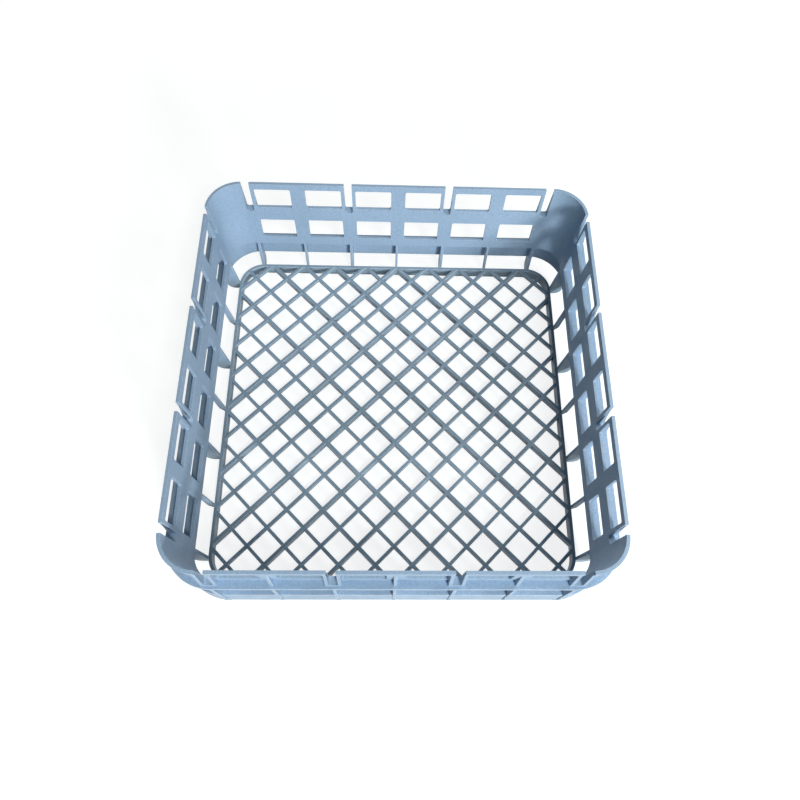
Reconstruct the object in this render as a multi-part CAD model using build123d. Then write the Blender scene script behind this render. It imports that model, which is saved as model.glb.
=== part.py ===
"""Square glass basket with leaning windowed walls and a diagonal lattice floor, millimetres, +Z up.

The origin is the middle of the base, so the basket stands on z = 0.
"""
import math
import os

from build123d import *

# Overall size, across the middle ledge and up to the rim
overall = 400.0
height = 150.0

# Rim and wall skin
rim_inset = 5.8
rim_radius = 33.5
rim_thickness = 3.1
rim_depth = 6.6
skin_thickness = 3.2
skin_bottom = 52.0
lean = 2.9

# Wall cells: two rows of windows between mullions
cells = 6
pattern_end = 3.2
mullion = 15.0
upper_band = 8.0
upper_window = 27.5
lower_band = 12.5
lower_window = 29.5

# Slits through the rim, with a cheek on each side
slit_width = 8.1
slit_drop = 6.8
slit_cheek = 3.0

# Ledges, skirt and ribs on the outside
ledge_thickness = 3.0
ledge_drop = 10.0
ledge_radius = 44.0
skirt_inset = 1.8
skirt_thickness = 3.0
skirt_bottom = 21.5
skirt_radius = 42.0
rib_thickness = 3.0
rib_flare = 3.0
rib_inset = 0.6
rib_lift = 5.5

# Floor ring and diagonal bars
floor_top = 13.5
floor_cells = 10
ring_step = 3.6
ring_thickness = 3.6
ring_radius = 28.0
shallow_width = 2.9
shallow_depth = 4.5
deep_width = 3.5
deep_offsets = (1, 3, 5)

# Risers between the floor ring and the walls
riser_thickness = 3.2
riser_foot = 2.0
foot_radius = 9.0
foot_inset = 1.0
strut_thickness = 2.6
strut_depth = 6.0
strut_foot = 3.0

# Allowance by which joined shapes run into each other
overlap = 1.0

# Sizes that follow from the ones above
half = overall / 2
slope = math.tan(math.radians(lean))
rim_half = half - rim_inset
rim_inner = rim_half - rim_thickness
rim_under = height - rim_depth
inner_radius = rim_radius - rim_thickness
cell_pitch = 2 * (rim_half - rim_radius - pattern_end) / cells
window_width = cell_pitch - mullion
upper_head = height - upper_band
upper_sill = upper_head - upper_window
lower_sill = skin_bottom + lower_band
lower_head = lower_sill + lower_window
slit_floor = upper_sill - slit_drop
cheek_width = slit_width + 2 * slit_cheek
ledge_top = upper_sill - ledge_drop
foot_ledge_top = skin_bottom + ledge_thickness
skirt_half = half - skirt_inset
skirt_inner = skirt_half - skirt_thickness
rib_foot = skirt_bottom + rib_lift
slit_places = list(range(-cells // 2, cells // 2 + 1, 2))
rib_places = list(range(1 - cells // 2, cells // 2, 2))
quarter_turns = (0, 90, 180, 270)


def inner_at(z):
    """Half width of the inside face of the wall at a height."""
    return rim_inner - slope * (height - z)


def inner_radius_at(z):
    """Corner radius of the inside face of the wall at a height."""
    return inner_radius - slope * (height - z)


def slab(half_width, radius, low, high):
    """Straight-sided rounded square between two heights."""
    outline = RectangleRounded(2 * half_width, 2 * half_width, radius)
    return extrude(Pos(0, 0, low) * outline, amount=high - low)


def leaning_slab(low, high, offset):
    """Rounded square that opens upward with the wall, set out from its inside face."""
    half_width = inner_at(low) + offset
    outline = RectangleRounded(2 * half_width, 2 * half_width, inner_radius_at(low) + offset)
    return extrude(Pos(0, 0, low) * outline, amount=high - low, taper=-lean)


def upright(outline, thickness, place):
    """Plate standing square to the back wall, from an outline of (outward, up) points."""
    plate = extrude(Plane.YZ * outline, amount=thickness / 2, both=True)
    return Pos(place, 0, 0) * plate


def all_round(shapes):
    """The shapes of one wall repeated on the four walls."""
    return [Rot(0, 0, turn) * shape for turn in quarter_turns for shape in shapes]


# Skin, rim and ledges, still filled
shell = leaning_slab(skin_bottom, height - overlap, skin_thickness)
rim = slab(rim_half, rim_radius, rim_under, height)
mid_ledge = slab(half, ledge_radius, ledge_top - ledge_thickness, ledge_top)
foot_ledge = slab(skirt_half, skirt_radius, skin_bottom, foot_ledge_top)

# Outside ribs and the cheeks beside the slits
rib_root = inner_at(skin_bottom) - skin_thickness
upper_rib = Polygon(
    (rib_root, ledge_top - overlap),
    (rim_half + rib_flare, ledge_top - overlap),
    (rim_half + rib_flare, ledge_top),
    (rim_half - rib_inset, rim_under),
    (rim_half - rib_inset, rim_under + overlap),
    (rib_root, rim_under + overlap),
    align=None,
)
lower_rib = Polygon(
    (rib_root, foot_ledge_top - overlap),
    (skirt_inner + overlap, foot_ledge_top - overlap),
    (skirt_inner + overlap, rib_foot),
    (half - rib_inset, rib_foot),
    (half - rib_inset, ledge_top - overlap),
    (rib_root, ledge_top - overlap),
    align=None,
)
ribs = [upright(upper_rib, rib_thickness, n * cell_pitch) for n in rib_places]
ribs += [upright(upper_rib, cheek_width, n * cell_pitch) for n in slit_places]
ribs += [upright(lower_rib, rib_thickness, n * cell_pitch) for n in sorted(rib_places + slit_places)]


# Windows and slits
def cutter(place, width, low, high):
    """Square-cornered hole through the back wall between two heights."""
    depth = half + overlap - rib_root
    return Pos(place, rib_root + depth / 2, (low + high) / 2) * Box(width, depth, high - low)


window_columns = [(n - (cells - 1) / 2) * cell_pitch for n in range(cells)]
cutters = [cutter(x, window_width, upper_sill, upper_head) for x in window_columns]
cutters += [cutter(x, window_width, lower_sill, lower_head) for x in window_columns]
cutters += [cutter(n * cell_pitch, slit_width, slit_floor, height + overlap) for n in slit_places]
cavity = leaning_slab(skin_bottom - overlap, height + overlap, 0)

wall = shell + [rim, mid_ledge, foot_ledge] + all_round(ribs)
wall = wall - cavity - all_round(cutters)

# Skirt hanging from the lower ledge
skirt = slab(skirt_half, skirt_radius, skirt_bottom, skin_bottom + overlap)
skirt -= slab(skirt_inner, skirt_radius - skirt_thickness, skirt_bottom, skin_bottom + overlap)

# Floor ring and the two depths of diagonal bar
ring_half = inner_at(skin_bottom) - ring_step
ring_inner = ring_half - ring_thickness
bar_spacing = 2 * ring_half / floor_cells / math.sqrt(2)
bar_length = 4 * ring_half
ring = slab(ring_half, ring_radius, 0, floor_top)
ring -= slab(ring_inner, ring_radius - ring_thickness, 0, floor_top)
floor_outline = RectangleRounded(
    2 * (ring_half - overlap), 2 * (ring_half - overlap), ring_radius - overlap
)


def diagonal_bars(offsets, width, depth):
    """Bars along both diagonals, ending inside the floor ring."""
    bar = Rectangle(bar_length, width)
    places = [Rot(0, 0, turn) * Pos(0, n * bar_spacing) for n in offsets for turn in (45, -45)]
    outline = (Sketch() + [place * bar for place in places]) & floor_outline
    return extrude(Pos(0, 0, floor_top - depth) * outline, amount=depth)


shallow = diagonal_bars(range(1 - floor_cells, floor_cells), shallow_width, shallow_depth)
deep_list = [side * n for n in deep_offsets for side in (-1, 1)]
deep = diagonal_bars(deep_list, deep_width, floor_top)

# Risers that carry the walls on the floor ring
ring_bite = ring_half - overlap
foot_outer = skirt_half - foot_inset
gusset = Polygon(
    (ring_bite, riser_foot),
    (foot_outer, riser_foot),
    (foot_outer, skin_bottom + overlap),
    (inner_at(skin_bottom), skin_bottom + overlap),
    (inner_at(skin_bottom), skin_bottom),
    (ring_half, floor_top),
    (ring_bite, floor_top),
    align=None,
)
gusset = fillet(gusset.vertices().group_by(Axis.Y)[0].sort_by(Axis.X)[-1], foot_radius)
strut = Polygon(
    (ring_bite, strut_foot),
    (ring_half, strut_foot),
    (ring_half + strut_depth, floor_top),
    (inner_at(skin_bottom) + strut_depth, skin_bottom + overlap),
    (inner_at(skin_bottom), skin_bottom + overlap),
    (inner_at(skin_bottom), skin_bottom),
    (ring_half, floor_top),
    (ring_bite, floor_top),
    align=None,
)
risers = [upright(gusset, riser_thickness, n * cell_pitch) for n in slit_places]
risers += [upright(strut, strut_thickness, n * cell_pitch) for n in rib_places]

basket = wall + [skirt, ring, shallow, deep] + all_round(risers)

os.makedirs("parts", exist_ok=True)
basket = basket.solid()
basket.label = "basket"
export_step(basket, "parts/basket.step")
box = basket.bounding_box()
print("basket", box.size.X, box.size.Y, box.size.Z, "volume", basket.volume, "faces", len(basket.faces()))
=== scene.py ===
# %% [markdown]
# A square basket for washing glasses, moulded in one piece from blue-grey plastic. The packed
# solid is loaded first and stays fixed: it says how large everything is and where it sits. The
# lesson then models the same basket again, form by form, with the eased edges and round window
# corners of a real moulding.

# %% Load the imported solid
from math import cos, radians, sin, tan

import bmesh
import bpy
from mathutils import Matrix, Vector


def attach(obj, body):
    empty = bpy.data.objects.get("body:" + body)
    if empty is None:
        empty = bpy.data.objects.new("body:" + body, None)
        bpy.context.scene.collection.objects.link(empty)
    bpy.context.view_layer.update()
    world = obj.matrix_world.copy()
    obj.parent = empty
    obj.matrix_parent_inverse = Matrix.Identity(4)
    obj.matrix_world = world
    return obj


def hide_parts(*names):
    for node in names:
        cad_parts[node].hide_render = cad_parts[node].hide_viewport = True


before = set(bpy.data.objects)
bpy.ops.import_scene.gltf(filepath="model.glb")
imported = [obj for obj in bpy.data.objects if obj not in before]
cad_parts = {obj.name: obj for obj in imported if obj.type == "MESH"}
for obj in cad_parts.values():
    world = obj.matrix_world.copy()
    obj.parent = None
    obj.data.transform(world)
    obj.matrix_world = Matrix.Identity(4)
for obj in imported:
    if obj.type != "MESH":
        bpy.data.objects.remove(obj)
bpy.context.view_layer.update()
mm = 0.001

# %% [markdown]
# The photograph looks down over the front wall from quite close, so the walls open out strongly
# towards the lens. A camera can be turned by eye until it looks right, but a basket has many
# straight lines to measure against. So the place, turn and lens here come from fitting the
# lattice and the rim, and a small shift keeps the framing.

# %% Camera at the photograph's view
scene = bpy.context.scene
camera = bpy.data.objects.new("camera", bpy.data.cameras.new("camera"))
scene.collection.objects.link(camera)
scene.camera = camera
camera.data.sensor_width = 36.0
camera.data.lens = 32.494
camera.data.shift_x = -0.01934
camera.data.shift_y = -0.0524
camera_right = (0.999137, -0.004353, 0.041315)
camera_up = (-0.013701, 0.904327, 0.426621)
camera_back = (-0.039219, -0.426818, 0.903486)
camera_turn = Matrix((camera_right, camera_up, camera_back)).transposed()
camera.matrix_world = Matrix.Translation((-0.00948, -0.28423, 0.74641)) @ camera_turn.to_4x4()
print("camera height", round(camera.location.z, 3), "lens", camera.data.lens)

# %% [markdown]
# All the pieces share one plastic, so it is made before them and finished in a later cell. Every
# piece also needs the same last steps: soft shading, a place on the basket's body and the
# record's material slot. The weighted normals keep the large faces flat to the eye and let only
# the narrow eased edges turn with the light.

# %% A helper that turns a finished shape into a piece of the basket
plastic = bpy.data.materials.new("blue_grey_plastic")


def new_shape():
    shape = bmesh.new()
    # A mark for eased faces, painted paler later: partly rubbed wear, partly painted highlight.
    shape.faces.layers.float.new("edge_wear_and_highlight")
    return shape


def basket_piece(name, shape):
    for face in shape.faces:
        face.smooth = True
    mesh = bpy.data.meshes.new(name)
    shape.to_mesh(mesh)
    shape.free()
    mesh.set_sharp_from_angle(angle=radians(60))
    mesh.materials.append(plastic)
    piece = bpy.data.objects.new(name, mesh)
    scene.collection.objects.link(piece)
    even = piece.modifiers.new("even_shading", "WEIGHTED_NORMAL")
    even.keep_sharp = True
    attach(piece, "root")
    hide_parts("basket")
    print(name, "faces", len(mesh.polygons))


# %% [markdown]
# No edge of a moulded part is knife sharp: each is eased a little, and those narrow curves catch
# the light as pale lines. The bevel operator eases them once a shape is closed. It also tells
# which faces it made, and these are marked, so that the plastic can be paler there: partly as
# rubbed wear and partly as a painted highlight.


# %% Helpers for easing edges and for the four like walls
def points_of(geometry):
    return [g for g in geometry if isinstance(g, bmesh.types.BMVert)]


def edges_of(geometry):
    return [g for g in geometry if isinstance(g, bmesh.types.BMEdge)]


def ease(shape, radius, steps=2, above=-1.0):
    sharp = [e for e in shape.edges if e.is_manifold and e.calc_face_angle(0.0) > 0.8]
    sharp = [e for e in sharp if min(point.co.z for point in e.verts) > above]
    made = bmesh.ops.bevel(
        shape,
        geom=sharp,
        offset=radius,
        offset_type="OFFSET",
        segments=steps,
        profile=0.5,
        affect="EDGES",
        material=-1,
        clamp_overlap=True,
    )
    # Mark the eased faces for the pale that is partly wear and partly painted highlight.
    edge_wear_and_highlight = shape.faces.layers.float["edge_wear_and_highlight"]
    for face in made["faces"]:
        face[edge_wear_and_highlight] = 1.0


def round_corners(shape, points, radius, steps):
    bmesh.ops.bevel(
        shape,
        geom=points,
        offset=radius,
        offset_type="OFFSET",
        segments=steps,
        profile=0.5,
        affect="VERTICES",
        material=-1,
        clamp_overlap=True,
        vmesh_method="CUTOFF",
    )


def four_walls(shape, weld):
    first = shape.verts[:] + shape.edges[:] + shape.faces[:]
    for turn in (90, 180, 270):
        twin = bmesh.ops.duplicate(shape, geom=first)["geom"]
        quarter = Matrix.Rotation(radians(turn), 3, "Z")
        bmesh.ops.rotate(shape, verts=points_of(twin), cent=(0, 0, 0), matrix=quarter)
    if weld:
        bmesh.ops.remove_doubles(shape, verts=shape.verts, dist=weld)


def turn_corner(shape, edges, axis, angle, steps):
    ends = list({point for edge in edges for point in edge.verts})
    bmesh.ops.spin(
        shape,
        geom=ends + edges,
        cent=(axis, axis, 0),
        axis=(0, 0, 1),
        dvec=(0, 0, 0),
        angle=-radians(angle),
        steps=steps,
        use_merge=False,
        use_duplicate=False,
    )


def cut_lines(shape, normal, places):
    for place in places:
        bmesh.ops.bisect_plane(
            shape,
            geom=shape.verts[:] + shape.edges[:] + shape.faces[:],
            dist=1e-7,
            plane_co=Vector(normal) * place,
            plane_no=normal,
        )


edge_ease = 0.4 * mm

# %% [markdown]
# The wall is a thin skin that leans outward by about three degrees, so that the basket leaves its
# mould. One flat sheet is cut into a grid along the sides of the windows and of the slits, then
# sheared to the lean. Its end is spun round the corner, and four turned copies weld into one
# closed band.

# %% The wall as one sheet, still without windows
wall_top = 150.0 * mm
wall_foot = 52.0 * mm
rim_inside = 191.1 * mm
corner_axis = 160.7 * mm
skin = 3.2 * mm
lean = tan(radians(2.9))
panel_end = 161.55 * mm
corner_angle = 86.6
panel_gap = 0.4 * mm
window_sides = [t * mm for t in (7.5, 45.0, 60.0, 97.5, 112.5, 150.0)]
slit_sides = [t * mm for t in (48.45, 56.55, 153.45)]
slit_floor = 107.7 * mm
window_heights = [z * mm for z in (64.5, 94.0, 114.5, 142.0)]


def inside_at(z):
    return rim_inside - lean * (wall_top - z)


def lean_out(shape, points, offset):
    push = Matrix(((1, 0, 0, 0), (0, 1, lean, inside_at(0) + offset), (0, 0, 1, 0), (0, 0, 0, 1)))
    bmesh.ops.transform(shape, matrix=push, verts=points)


def upright_sheet(shape, half_width, low, high):
    made = bmesh.ops.create_grid(shape, x_segments=1, y_segments=1, size=1.0)
    bmesh.ops.scale(shape, vec=(half_width, (high - low) / 2, 1), verts=made["verts"])
    stand_up = Matrix.Rotation(radians(90), 3, "X")
    bmesh.ops.rotate(shape, verts=made["verts"], cent=(0, 0, 0), matrix=stand_up)
    bmesh.ops.translate(shape, verts=made["verts"], vec=(0, 0, (low + high) / 2))


wall = new_shape()
upright_sheet(wall, panel_end, wall_foot, wall_top)
cut_lines(wall, (1, 0, 0), [side * t for t in window_sides + slit_sides for side in (-1, 1)])
cut_lines(wall, (0, 0, 1), window_heights + [slit_floor])
lean_out(wall, wall.verts, 0.0)
panel_edges = [e for e in wall.edges if all(abs(v.co.x - panel_end) < 1e-6 for v in e.verts)]
turn_corner(wall, panel_edges, corner_axis, corner_angle, 14)
four_walls(wall, panel_gap)
bmesh.ops.recalc_face_normals(wall, faces=wall.faces)
print("wall sheet cells", len(wall.faces), "open edges", sum(e.is_boundary for e in wall.edges))

# %% [markdown]
# Two rows of windows and four open slits break each wall. A corner of the grid can be rounded by
# bevelling its point, which bends the outlines of all the cells that meet there. With that done
# first, deleting a window's cell leaves a hole with round corners, as the mould leaves it.


# %% Open the windows and the slits
def along_wall(point):
    return abs(point.x) if abs(point.y) > abs(point.x) else abs(point.y)


def cells_near(shape, columns, reach, low, high):
    found = []
    for face in shape.faces:
        middle = face.calc_center_median()
        near = any(abs(along_wall(middle) - column * mm) < reach for column in columns)
        if near and low < middle.z < high:
            found.append(face)
    return found


def window_cells(shape):
    columns = (26.25, 78.75, 131.25)
    lower_sill, lower_head, upper_sill, upper_head = window_heights
    lower = cells_near(shape, columns, 4 * mm, lower_sill, lower_head)
    return lower + cells_near(shape, columns, 4 * mm, upper_sill, upper_head)


def slit_cells(shape):
    return cells_near(shape, (52.5, 157.5), 2 * mm, slit_floor, wall_top)


window_corner = 1.8 * mm
slit_corner = 2.9 * mm
window_points = list({point for cell in window_cells(wall) for point in cell.verts})
window_count = len(window_points)
round_corners(wall, window_points, window_corner, 4)
slit_points = {point for cell in slit_cells(wall) for point in cell.verts}
slit_points = [point for point in slit_points if abs(point.co.z - slit_floor) < 1e-5]
slit_count = len(slit_points)
round_corners(wall, slit_points, slit_corner, 5)
openings = window_cells(wall) + slit_cells(wall)
print("window corners", window_count, "slit corners", slit_count, "cells opened", len(openings))
bmesh.ops.delete(wall, geom=openings, context="FACES")

# %% [markdown]
# The thickness of the skin can't be seen, so it is taken as about three millimetres, and the
# inside face is the one that was fitted to the photograph. Solidify grows against the normals, so
# these are first turned to point into the basket and the new face lies outside. Easing comes
# last, when the sheet has closed and its edges at the rim, the windows and the slits exist.


# %% Give the wall its thickness
def outward_share(face):
    middle = face.calc_center_median()
    return face.normal.dot(Vector((middle.x, middle.y, 0.0)))


if sum(outward_share(face) for face in wall.faces) > 0:
    bmesh.ops.reverse_faces(wall, faces=wall.faces)
bmesh.ops.solidify(wall, geom=wall.faces[:], thickness=skin)
reach = max(point.co.y for point in wall.verts)
open_edges = sum(not e.is_manifold for e in wall.edges)
print("wall reaches", round(reach / mm, 2), "mm, open edges", open_edges)
wall_ease = 0.5 * mm
ease(wall, wall_ease)
basket_piece("basket_wall", wall)

# %% [markdown]
# Two ledges and a hanging skirt run all the way round the outside and stiffen the wall. A profile
# that follows a path can be made with a curve, but the corners then share one radius. Here the
# profile is drawn once in the outward and upward directions, pushed along a wall, and spun round
# a corner of its own radius.


# %% Ledges, skirt and the ring under the floor
def ring_from_profile(name, profile, straight, radius_steps):
    ring = new_shape()
    points = [ring.verts.new((-straight, out * mm, up * mm)) for out, up in profile]
    loop = [ring.edges.new((a, b)) for a, b in zip(points, points[1:] + points[:1])]
    along = bmesh.ops.extrude_edge_only(ring, edges=loop)["geom"]
    bmesh.ops.translate(ring, verts=points_of(along), vec=(2 * straight, 0, 0))
    end = [e for e in edges_of(along) if all(v.co.x > 0 for v in e.verts)]
    turn_corner(ring, end, straight, 90, radius_steps)
    four_walls(ring, 0.05 * mm)
    bmesh.ops.recalc_face_normals(ring, faces=ring.faces)
    ease(ring, edge_ease)
    basket_piece(name, ring)


ledge_top = 104.5
ledge_profile = [(191.5, 101.5), (200.0, 101.5), (200.0, ledge_top), (191.5, ledge_top)]
ring_from_profile("middle_ledge", ledge_profile, 156.0 * mm, 14)
skirt_profile = [
    (188.5, 52.0),
    (195.2, 52.0),
    (195.2, 21.5),
    (198.2, 21.5),
    (198.2, 55.0),
    (188.5, 55.0),
]
ring_from_profile("lower_ledge_and_skirt", skirt_profile, 156.2 * mm, 14)
ring_half = 182.54
floor_top = 13.5
ring_inner = ring_half - 3.6
ring_axis = 154.54 * mm
ring_profile = [
    (ring_inner, 0.0),
    (ring_half, 0.0),
    (ring_half, floor_top),
    (ring_inner, floor_top),
]
ring_from_profile("floor_ring", ring_profile, ring_axis, 12)

# %% [markdown]
# Upright ribs tie the rim to the ledges and run down over the skirt, and each slit stands between
# two cheeks. A rib is a flat plate, so its side outline is drawn as one face and extruded by its
# thickness. The inner edge of each outline lies inside the skin, where it can't be seen, and
# follows the lean.


# %% Ribs
def plate(shape, outline, thickness, place):
    points = [shape.verts.new((place - thickness / 2, out * mm, up * mm)) for out, up in outline]
    side = shape.faces.new(points)
    made = bmesh.ops.extrude_face_region(shape, geom=[side])["geom"]
    bmesh.ops.translate(shape, verts=points_of(made), vec=(thickness, 0, 0))


def root_at(up):
    return inside_at(up * mm) / mm + skin / mm / 2


pitch = 52.5 * mm
rib_places = [n * pitch for n in (-2, 0, 2)]
slit_places = [n * pitch for n in (-3, -1, 1, 3)]
rib_thickness = 3.0 * mm
rib_low = 103.5
rib_high = 143.4
rib_out_low = 197.2
rib_out_high = 193.6
upper_rib = [
    (root_at(rib_low), rib_low),
    (rib_out_low, rib_low),
    (rib_out_low, ledge_top),
    (rib_out_high, rib_high),
    (root_at(rib_high), rib_high),
]
lower_rib = [
    (root_at(54.0), 54.0),
    (196.5, 54.0),
    (196.5, 27.0),
    (199.4, 27.0),
    (199.4, 103.0),
    (root_at(103.0), 103.0),
]
ribs = new_shape()
for place in rib_places:
    plate(ribs, upper_rib, rib_thickness, place)
for place in rib_places + slit_places:
    plate(ribs, lower_rib, rib_thickness, place)
bmesh.ops.recalc_face_normals(ribs, faces=ribs.faces)
ease(ribs, edge_ease)
four_walls(ribs, None)
basket_piece("outside_ribs", ribs)

# %% [markdown]
# The cheeks of a slit and the block under it make a letter U when the wall is seen from the
# front. The U is cut from a small sheet in the same way as the windows, and extruded outward. Its
# outer face is then sheared, so that the cheeks are deep at the ledge and fade into the wall
# below the rim.

# %% Slit cheeks
cheek_half = 7.05 * mm
slit_half = 4.05 * mm
cheek_fade = (rib_out_high - rib_out_low) / (rib_high - ledge_top)


def slit_cheek(shape, place):
    cheek = new_shape()
    upright_sheet(cheek, cheek_half, rib_low * mm, rib_high * mm)
    cut_lines(cheek, (1, 0, 0), (-slit_half, slit_half))
    cut_lines(cheek, (0, 0, 1), (slit_floor,))
    bottom = [p for p in cheek.verts if abs(p.co.z - slit_floor) < 1e-6]
    bottom = [p for p in bottom if abs(p.co.x) < cheek_half - 1e-5]
    round_corners(cheek, bottom, slit_corner, 5)
    middle = [f for f in cheek.faces if abs(f.calc_center_median().x) < 1 * mm]
    middle = [f for f in middle if f.calc_center_median().z > slit_floor + mm]
    bmesh.ops.delete(cheek, geom=middle, context="FACES")
    root = cheek.verts[:]
    made = bmesh.ops.extrude_face_region(cheek, geom=cheek.faces[:])["geom"]
    front = points_of(made)
    lean_out(cheek, root, skin / 2)
    start = (rib_out_low - cheek_fade * ledge_top) * mm
    outer = Matrix(((1, 0, 0, 0), (0, 1, cheek_fade, start), (0, 0, 1, 0), (0, 0, 0, 1)))
    bmesh.ops.transform(cheek, matrix=outer, verts=front)
    bmesh.ops.recalc_face_normals(cheek, faces=cheek.faces)
    ease(cheek, edge_ease)
    bmesh.ops.translate(cheek, verts=cheek.verts, vec=(place, 0, 0))
    held = bpy.data.meshes.new("cheek")
    cheek.to_mesh(held)
    cheek.free()
    shape.from_mesh(held)
    bpy.data.meshes.remove(held)


cheeks = new_shape()
for place in slit_places:
    slit_cheek(cheeks, place)
four_walls(cheeks, None)
basket_piece("slit_cheeks", cheeks)

# %% [markdown]
# The floor is a lattice of diagonal bars: every line has a shallow bar, and some have a deep one
# that carries the weight. One large sheet is cut along all the lines, each cell is inset by half
# a bar and its middle is taken out. The lattice is then turned by 45 degrees, clipped to the
# rounded square of the ring, and extruded down. Its upper edges get a wide rounding first, so
# that each bar shows a pale crown and a dark flank, and the rest a narrow one.

# %% Lattice floor
bar_spacing = 2 * ring_half * mm / 10 / (2 ** 0.5)
crown_radius = 1.2 * mm


def clip(shape, place, normal):
    bmesh.ops.bisect_plane(
        shape,
        geom=shape.verts[:] + shape.edges[:] + shape.faces[:],
        dist=1e-7,
        plane_co=place,
        plane_no=normal,
        clear_outer=True,
    )


def lattice(name, lines, bar, top, bottom):
    bars = new_shape()
    bmesh.ops.create_grid(bars, x_segments=1, y_segments=1, size=12 * bar_spacing)
    cut_lines(bars, (1, 0, 0), [n * bar_spacing for n in lines])
    cut_lines(bars, (0, 1, 0), [n * bar_spacing for n in lines])
    cells = bars.faces[:]
    bmesh.ops.inset_individual(bars, faces=cells, thickness=bar / 2, use_even_offset=True)
    bmesh.ops.delete(bars, geom=cells, context="FACES")
    diagonal = Matrix.Rotation(radians(45), 3, "Z")
    bmesh.ops.rotate(bars, verts=bars.verts, cent=(0, 0, 0), matrix=diagonal)
    edge = (ring_half - 1.6) * mm
    for turn in range(0, 360, 15):
        way = Vector((cos(radians(turn)), sin(radians(turn)), 0))
        corner_x = ring_axis if way.x > 1e-6 else -ring_axis
        corner_y = ring_axis if way.y > 1e-6 else -ring_axis
        corner = Vector((corner_x, corner_y, 0))
        clip(bars, way * edge if turn % 90 == 0 else corner + way * (edge - ring_axis), way)
    bmesh.ops.translate(bars, verts=bars.verts, vec=(0, 0, top * mm))
    made = bmesh.ops.extrude_face_region(bars, geom=bars.faces[:])["geom"]
    bmesh.ops.translate(bars, verts=points_of(made), vec=(0, 0, (bottom - top) * mm))
    bmesh.ops.recalc_face_normals(bars, faces=bars.faces)
    ease(bars, crown_radius, 3, above=(top - 1.0) * mm)
    ease(bars, 0.3 * mm, 1)
    basket_piece(name, bars)


every_line = range(-9, 10)
deep_lines = (-5, -3, -1, 1, 3, 5)
shallow_width = 3.4 * mm
deep_width = 3.6 * mm
lattice("floor_lattice", every_line, shallow_width, floor_top - 0.03, floor_top - 4.5)
lattice("deep_floor_bars", deep_lines, deep_width, floor_top - 0.06, floor_top - 10.5)

# %% [markdown]
# The walls stand on the floor ring through upright risers: broad gussets under the slits and slim
# struts under the ribs. They are plates again; the outer foot of a gusset is rounded by bevelling
# one point of its outline before it is extruded.

# %% Risers
ring_bite = ring_half - 1.0
foot_outer = 197.2
skin_low = inside_at(wall_foot) / mm
gusset_thickness = 3.2 * mm
gusset = [
    (ring_bite, 2.0),
    (foot_outer, 2.0),
    (foot_outer, 52.5),
    (skin_low + 0.6, 52.5),
    (skin_low, 52.0),
    (ring_half, 13.2),
    (ring_bite, 13.2),
]
strut = [
    (ring_bite, 3.0),
    (ring_half, 3.0),
    (ring_half + 6.0, 13.5),
    (skin_low + 6.0, 52.5),
    (skin_low + 0.6, 52.5),
    (skin_low, 52.0),
    (ring_half, 13.2),
    (ring_bite, 13.2),
]
risers = new_shape()
for place in slit_places:
    left = place - gusset_thickness / 2
    points = [risers.verts.new((left, out * mm, up * mm)) for out, up in gusset]
    risers.faces.new(points)
    round_corners(risers, [points[1]], 9.0 * mm, 6)
    side = next(f for f in risers.faces if abs(f.calc_center_median().x - left) < 1e-6)
    made = bmesh.ops.extrude_face_region(risers, geom=[side])["geom"]
    bmesh.ops.translate(risers, verts=points_of(made), vec=(gusset_thickness, 0, 0))
for place in rib_places:
    plate(risers, strut, 2.6 * mm, place)
bmesh.ops.recalc_face_normals(risers, faces=risers.faces)
ease(risers, edge_ease)
four_walls(risers, None)
basket_piece("risers", risers)

# %% [markdown]
# The plastic looks like a matte blue-grey polypropylene, coloured all through, so its tone drifts
# only a little from place to place. A single colour would look like paint, and a picture texture
# would need unwrapping. Noise on the object's own coordinates gives a broad drift and a fine
# mottle, and follows every piece without a seam.

# %% Colour of the plastic
plastic.use_nodes = True
nodes = plastic.node_tree.nodes
links = plastic.node_tree.links
shader = nodes["Principled BSDF"]
place_on_basket = nodes.new("ShaderNodeTexCoord").outputs["Object"]


def grain(scale, detail):
    texture = nodes.new("ShaderNodeTexNoise")
    texture.inputs["Scale"].default_value = scale
    texture.inputs["Detail"].default_value = detail
    links.new(place_on_basket, texture.inputs["Vector"])
    return texture.outputs["Fac"]


def remap(value, low, high, to_low, to_high):
    step = nodes.new("ShaderNodeMapRange")
    step.inputs["From Min"].default_value = low
    step.inputs["From Max"].default_value = high
    step.inputs["To Min"].default_value = to_low
    step.inputs["To Max"].default_value = to_high
    links.new(value, step.inputs["Value"])
    return step.outputs["Result"]


def multiply(first, second):
    step = nodes.new("ShaderNodeMath")
    step.operation = "MULTIPLY"
    links.new(first, step.inputs[0])
    links.new(second, step.inputs[1])
    return step.outputs["Value"]


def blend_colour(amount, first, second):
    step = nodes.new("ShaderNodeMix")
    step.data_type = "RGBA"
    links.new(amount, step.inputs["Factor"])
    for socket, colour in ((step.inputs["A"], first), (step.inputs["B"], second)):
        if isinstance(colour, tuple):
            socket.default_value = (*colour, 1.0)
        else:
            links.new(colour, socket)
    return step.outputs["Result"]


deep_blue = (0.29, 0.418, 0.57)
clear_blue = (0.352, 0.492, 0.67)
mottle_blue = (0.22, 0.335, 0.45)
tone = blend_colour(remap(grain(8.0, 3.0), 0.35, 0.65, 0.0, 1.0), deep_blue, clear_blue)
mottled = blend_colour(remap(grain(520.0, 3.0), 0.42, 0.72, 0.0, 0.6), tone, mottle_blue)
print("plastic nodes so far", len(nodes))
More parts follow.
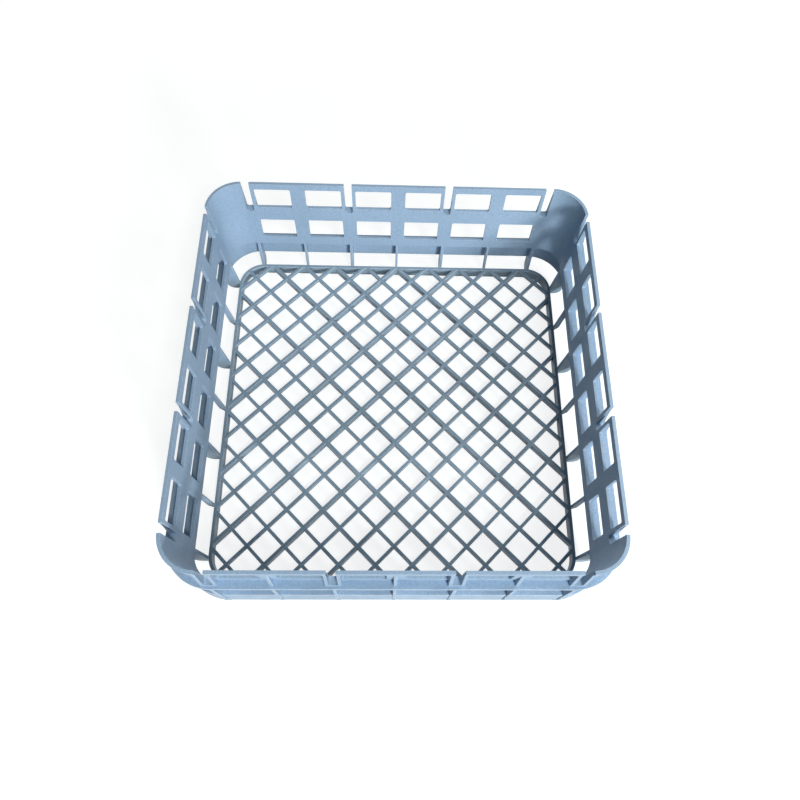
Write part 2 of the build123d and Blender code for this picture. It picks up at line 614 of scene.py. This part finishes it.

# %% [markdown]
# The floor bars look darker and duller than the walls. That is painted shade: a grey that stands
# in for the shadow the walls cast into the bottom of the basket. Height alone can place it, since
# the coordinates are those of the basket. The edges look paler, partly as if racking glasses had
# rubbed them and partly as a painted highlight. The pale comes from the mark that easing left on
# the edges, broken up by a coarser noise so that no edge is pale all along.

# %% Painted shade low down, and pale edges of wear and painted highlight
# Painted shade: the grey that darkens the floor bars in place of the walls' shadow.
painted_shade_grey = (0.20, 0.275, 0.305)
# Pale edges: partly rubbed wear, partly a painted highlight.
pale_wear_and_highlight = (0.60, 0.68, 0.74)
height_on_basket = nodes.new("ShaderNodeSeparateXYZ")
links.new(place_on_basket, height_on_basket.inputs["Vector"])
# Painted shade, darker and greyer towards the bottom of the basket.
painted_shade_low_down = remap(height_on_basket.outputs["Z"], 0.0135, 0.03, 0.62, 0.1)
painted_shade_amount = multiply(painted_shade_low_down, remap(grain(45.0, 5.0), 0.3, 0.7, 0.8, 1.0))
with_painted_shade = blend_colour(painted_shade_amount, mottled, painted_shade_grey)
# Where the pale of wear and painted highlight goes: the eased faces, broken up by noise.
wear_and_highlight_mark = nodes.new("ShaderNodeAttribute")
wear_and_highlight_mark.attribute_name = "edge_wear_and_highlight"
wear_and_highlight_amount = multiply(wear_and_highlight_mark.outputs["Fac"], remap(grain(140.0, 3.0), 0.35, 0.6, 0.25, 0.75))
links.new(blend_colour(wear_and_highlight_amount, with_painted_shade, pale_wear_and_highlight), shader.inputs["Base Color"])
print("plastic nodes with film and rub", len(nodes))

# %% [markdown]
# A lightly textured mould makes plastic matte without being dull, and thin walls sink a little as
# they cool. Both are far too small to model, so they are bumps: a fine grain of half a millimetre
# and a slow ripple. Roughness drifts with a coarser noise, so that the sheen is uneven.

# %% Surface of the plastic
links.new(remap(grain(70.0, 4.0), 0.3, 0.7, 0.36, 0.52), shader.inputs["Roughness"])
shader.inputs["IOR"].default_value = 1.49
shader.inputs["Specular IOR Level"].default_value = 0.25
fine = nodes.new("ShaderNodeBump")
fine.inputs["Strength"].default_value = 0.12
fine.inputs["Distance"].default_value = 0.0003
links.new(grain(1900.0, 2.0), fine.inputs["Height"])
ripple = nodes.new("ShaderNodeBump")
ripple.inputs["Strength"].default_value = 0.05
ripple.inputs["Distance"].default_value = 0.001
links.new(grain(38.0, 1.0), ripple.inputs["Height"])
links.new(ripple.outputs["Normal"], fine.inputs["Normal"])
links.new(fine.outputs["Normal"], shader.inputs["Normal"])
print("plastic nodes in all", len(nodes))

# %% [markdown]
# The basket stands on a white table that fills the frame, and the photograph shows it as plain
# white. Raising the lamps until the table is white would bleach the plastic too. Instead the
# table glows only for rays that come from the lens or a reflection, and its own grey still takes
# the basket's shadow.


# %% White table
def background_rays(tree):
    path = tree.nodes.new("ShaderNodeLightPath")
    seen = path.outputs["Is Camera Ray"]
    for other in ("Is Glossy Ray", "Is Transmission Ray"):
        step = tree.nodes.new("ShaderNodeMath")
        step.operation = "MAXIMUM"
        tree.links.new(seen, step.inputs[0])
        tree.links.new(path.outputs[other], step.inputs[1])
        seen = step.outputs["Value"]
    return seen


table_shape = bmesh.new()
bmesh.ops.create_grid(table_shape, x_segments=1, y_segments=1, size=4.0)
bmesh.ops.translate(table_shape, verts=table_shape.verts, vec=(0.0, 0.0, -0.4 * mm))
table_mesh = bpy.data.meshes.new("table")
table_shape.to_mesh(table_mesh)
table_shape.free()
table = bpy.data.objects.new("table", table_mesh)
scene.collection.objects.link(table)
table_grey = (0.32, 0.355, 0.35, 1.0)
white = (1.0, 1.0, 1.0, 1.0)
white_table = bpy.data.materials.new("white_table")
white_table.use_nodes = True
table_mesh.materials.append(white_table)
table_tree = white_table.node_tree
table_shader = table_tree.nodes["Principled BSDF"]
table_shader.inputs["Base Color"].default_value = table_grey
table_shader.inputs["Roughness"].default_value = 0.9
table_shader.inputs["Specular IOR Level"].default_value = 0.1
table_shader.inputs["Emission Color"].default_value = white
glow = table_tree.nodes.new("ShaderNodeMath")
glow.operation = "MULTIPLY"
glow.inputs[1].default_value = 0.84
table_tree.links.new(background_rays(table_tree), glow.inputs[0])
table_tree.links.new(glow.outputs["Value"], table_shader.inputs["Emission Strength"])
print("table", [round(c, 2) for c in table.dimensions])

# %% [markdown]
# In the photograph the back wall is the brightest face, the side walls are dark and the right
# edge of the basket gleams. So the main lamp is low and far off to the front right, with a weaker
# one straight in front that opens its shadows. A small high one draws the short shadows beside
# the ribs, and a weak one close on the right lights the ledges there. A broad fill behind keeps
# the far sides readable when the basket is turned. Each is a disc with some size, because a bare
# point would draw hard shadows of every bar.


# %% Lamps and surroundings
def soft_lamp(name, place, size, power):
    lamp = bpy.data.lights.new(name, "AREA")
    lamp.shape = "DISK"
    lamp.size = size
    lamp.energy = power
    holder = bpy.data.objects.new(name, lamp)
    scene.collection.objects.link(holder)
    aim = Vector((0.0, 0.0, 0.08)) - Vector(place)
    turn = aim.to_track_quat("-Z", "Y").to_matrix().to_4x4()
    holder.matrix_world = Matrix.Translation(place) @ turn


soft_lamp("front_right_lamp", (1.4, -3.0, 1.55), 0.7, 100.0)
soft_lamp("front_lamp", (0.0, -3.5, 1.15), 1.2, 18.0)
soft_lamp("high_front_lamp", (0.45, -1.0, 1.8), 0.35, 12.0)
soft_lamp("right_lamp", (0.45, 0.05, 0.55), 0.2, 1.2)
soft_lamp("back_fill", (-0.6, 3.4, 0.9), 2.0, 36.0)
world = bpy.data.worlds.new("studio")
scene.world = world
world.use_nodes = True
backdrop = world.node_tree.nodes["Background"]
surroundings = world.node_tree.nodes.new("ShaderNodeMix")
surroundings.data_type = "RGBA"
surroundings.inputs["A"].default_value = (0.025, 0.036, 0.036, 1.0)
surroundings.inputs["B"].default_value = white
world.node_tree.links.new(background_rays(world.node_tree), surroundings.inputs["Factor"])
world.node_tree.links.new(surroundings.outputs["Result"], backdrop.inputs["Color"])
scene.view_settings.view_transform = "Standard"
print("lamps", [lamp.name for lamp in bpy.data.lights])
